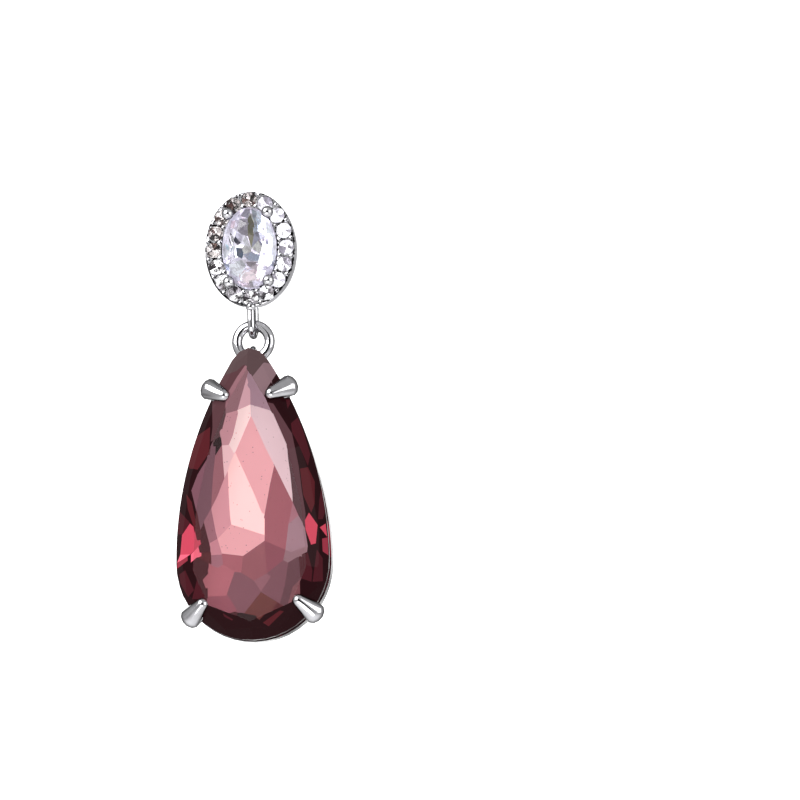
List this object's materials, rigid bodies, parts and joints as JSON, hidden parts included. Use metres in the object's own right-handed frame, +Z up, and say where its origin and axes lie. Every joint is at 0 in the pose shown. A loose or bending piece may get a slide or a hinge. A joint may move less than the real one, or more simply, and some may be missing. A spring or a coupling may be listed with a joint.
{
  "type": "teardrop earring",
  "caption": "Drop earring with an oval halo stud, a jump ring and a pear-shaped wine-red stone held by four claws.",
  "frame": {"origin": "where the ear post leaves the stud's flat back", "axes": "front towards -Y, ear post along +Y, +Z up"},
  "size_m": [0.0114, 0.0136, 0.033],
  "materials": {
    "plated_metal": "bright rhodium-like plating on cast brass",
    "clear_stone": "polished facets",
    "halo_stone": "polished facets",
    "wine_stone": "polished facets, mirror-backed"
  },
  "bodies": {
    "stud": {"stud_setting": "plated_metal", "oval_stone": "clear_stone", "halo_stone_01": "halo_stone", "halo_stone_02": "halo_stone", "halo_stone_03": "halo_stone", "halo_stone_04": "halo_stone", "halo_stone_05": "halo_stone", "halo_stone_06": "halo_stone", "halo_stone_07": "halo_stone", "halo_stone_08": "halo_stone", "halo_stone_09": "halo_stone", "halo_stone_10": "halo_stone", "halo_stone_11": "halo_stone", "halo_stone_12": "halo_stone", "halo_stone_13": "halo_stone", "halo_stone_14": "halo_stone", "halo_stone_15": "halo_stone", "halo_stone_16": "halo_stone"},
    "link": {"jump_ring": "plated_metal"},
    "drop": {"drop_setting": "plated_metal", "pear_stone": "wine_stone"}
  },
  "joints": [
    {"name": "ring_swing", "type": "hinge", "parent": "stud", "child": "link", "pos_m": [0, -0.0008, -0.00614], "axis": [0, 1, 0], "range_deg": [-40, 40]},
    {"name": "drop_nod", "type": "hinge", "parent": "link", "child": "drop", "pos_m": [0, -0.0008, -0.0078], "axis": [1, 0, 0], "range_deg": [-30, 20]}
  ]
}
